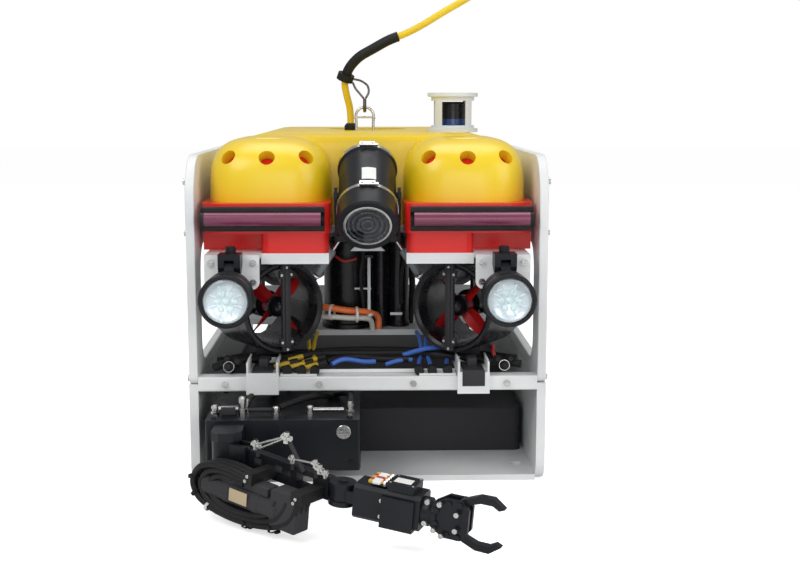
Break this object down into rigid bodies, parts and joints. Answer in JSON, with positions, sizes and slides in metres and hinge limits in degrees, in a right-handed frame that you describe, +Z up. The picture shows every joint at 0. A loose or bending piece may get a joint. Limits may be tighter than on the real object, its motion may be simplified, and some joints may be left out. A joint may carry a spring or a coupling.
{
  "type": "underwater inspection rov",
  "caption": "Open-frame underwater inspection vehicle with ducted thrusters, tilting lamps and camera, a lift tether and a jointed gripper arm on a skid.",
  "frame": {"origin": "middle of the skid's underside", "axes": "+X to the viewer's right seen from the front, +Y backwards, +Z up"},
  "size_m": [0.608, 1.3905, 0.8882],
  "materials": {
    "white_plate": "semi-matt polypropylene",
    "deck_grey": "semi-matt",
    "block_black": "matt",
    "float_yellow": "gloss gel coat",
    "bumper_red": "gloss",
    "rubber_black": "matt rubber",
    "tube_plum": "satin",
    "metal_black": "black anodised",
    "lens_glass": "clear",
    "duct_black": "gloss",
    "prop_red": "satin",
    "steel": "brushed",
    "sonar_white": "acetal",
    "cord_yellow": "satin",
    "lead_blue": "satin",
    "hose_orange": "satin",
    "strut_grey": "satin"
  },
  "bodies": {
    "chassis": {"arm_base": "metal_black", "bumper_left": "bumper_red", "bumper_right": "bumper_red", "camera_bracket": "white_plate", "connectors": "rubber_black", "crossbeams": "white_plate", "deck_plate": "deck_grey", "duct_vertical": "duct_black", "ducts_front": "duct_black", "ducts_rear": "duct_black", "electronics_pods": "duct_black", "fender_channels": "rubber_black", "fender_tubes": "tube_plum", "float": "float_yellow", "float_tray": "white_plate", "front_brackets": "white_plate", "hole_liners": "bumper_red", "hose_orange": "hose_orange", "lamp_clamps": "metal_black", "leads_blue": "lead_blue", "leads_yellow": "cord_yellow", "lift_bail": "steel", "plate_bolts": "steel", "side_plate_left": "white_plate", "side_plate_right": "white_plate", "skid_base": "white_plate", "skid_block": "block_black", "skid_sides": "white_plate", "sonar_cage": "sonar_white", "sonar_head": "duct_black", "struts": "strut_grey", "tether": "cord_yellow", "tether_fitting": "steel", "tether_gland": "rubber_black", "tether_sleeve": "rubber_black", "thruster_motors": "duct_black", "thruster_rails": "white_plate", "thruster_saddles": "metal_black", "wire_strop": "steel"},
    "lamp_left": {"lamp_housing_left": "metal_black", "lamp_lens_left": "lens_glass"},
    "lamp_right": {"lamp_housing_right": "metal_black", "lamp_lens_right": "lens_glass"},
    "camera": {"camera_body": "metal_black", "camera_lens": "lens_glass", "camera_bands": "steel"},
    "yoke": {"arm_yoke": "metal_black"},
    "upper": {"upper_arm": "metal_black", "arm_tubes": "steel", "hose_bundle": "rubber_black"},
    "fore": {"forearm": "metal_black", "valve_pack": "metal_black"},
    "palm": {"gripper_palm": "metal_black"},
    "jaw_top": {"jaw_upper": "metal_black"},
    "jaw_low": {"jaw_lower": "metal_black"},
    "prop_front_left": {"propeller_front_left": "prop_red"},
    "prop_front_right": {"propeller_front_right": "prop_red"},
    "prop_rear_left": {"propeller_rear_left": "prop_red"},
    "prop_rear_right": {"propeller_rear_right": "prop_red"},
    "prop_vertical": {"propeller_vertical": "prop_red"}
  },
  "joints": [
    {"name": "propeller_front_left_spin", "type": "hinge", "parent": "chassis", "child": "prop_front_left", "pos_m": [-0.177, -0.395, 0.294], "axis": [0.5592, -0.829, 0], "continuous": true},
    {"name": "propeller_front_right_spin", "type": "hinge", "parent": "chassis", "child": "prop_front_right", "pos_m": [0.177, -0.395, 0.294], "axis": [-0.5592, -0.829, 0], "continuous": true},
    {"name": "propeller_rear_left_spin", "type": "hinge", "parent": "chassis", "child": "prop_rear_left", "pos_m": [-0.177, 0.395, 0.294], "axis": [0.5592, 0.829, 0], "continuous": true},
    {"name": "propeller_rear_right_spin", "type": "hinge", "parent": "chassis", "child": "prop_rear_right", "pos_m": [0.177, 0.395, 0.294], "axis": [-0.5592, 0.829, 0], "continuous": true},
    {"name": "propeller_vertical_spin", "type": "hinge", "parent": "chassis", "child": "prop_vertical", "pos_m": [0, 0.18, 0.486], "axis": [0, 0, 1], "continuous": true},
    {"name": "lamp_left_tilt", "type": "hinge", "parent": "chassis", "child": "lamp_left", "pos_m": [-0.223, -0.548, 0.378], "axis": [1, 0, 0], "range_deg": [-3, 34]},
    {"name": "lamp_right_tilt", "type": "hinge", "parent": "chassis", "child": "lamp_right", "pos_m": [0.223, -0.548, 0.378], "axis": [1, 0, 0], "range_deg": [-3, 34]},
    {"name": "camera_tilt", "type": "hinge", "parent": "chassis", "child": "camera", "pos_m": [0, -0.4495, 0.4865], "axis": [1, 0, 0], "range_deg": [-33, 7]},
    {"name": "arm_slew", "type": "hinge", "parent": "chassis", "child": "yoke", "pos_m": [-0.222, -0.64, 0.096], "axis": [0, 0, 1], "range_deg": [-40, 18]},
    {"name": "arm_lift", "type": "hinge", "parent": "yoke", "child": "upper", "pos_m": [-0.19206, -0.66339, 0.096], "axis": [-0.6157, -0.788, 0], "range_deg": [-12, 40]},
    {"name": "arm_elbow", "type": "hinge", "parent": "upper", "child": "fore", "pos_m": [-0.03845, -0.7834, 0.07551], "axis": [0.0824, -0.0644, 0.9945], "range_deg": [-50, 45]},
    {"name": "wrist_rotate", "type": "hinge", "parent": "fore", "child": "palm", "pos_m": [0.0797, -0.83094, 0.06265], "axis": [0.923, -0.3714, -0.1005], "range_deg": [-90, 90]},
    {"name": "jaw_upper_close", "type": "hinge", "parent": "palm", "child": "jaw_top", "pos_m": [0.13053, -0.85176, 0.06916], "axis": [0.3758, 0.9263, 0.0288], "range_deg": [-8, 23.5]},
    {"name": "jaw_lower_close", "type": "hinge", "parent": "palm", "child": "jaw_low", "pos_m": [0.12855, -0.85022, 0.04529], "axis": [0.3758, 0.9263, 0.0288], "range_deg": [-23.5, 8]}
  ],
  "couplings": [
    {"joint": "jaw_lower_close", "follows": "jaw_upper_close", "ratio": -1}
  ]
}
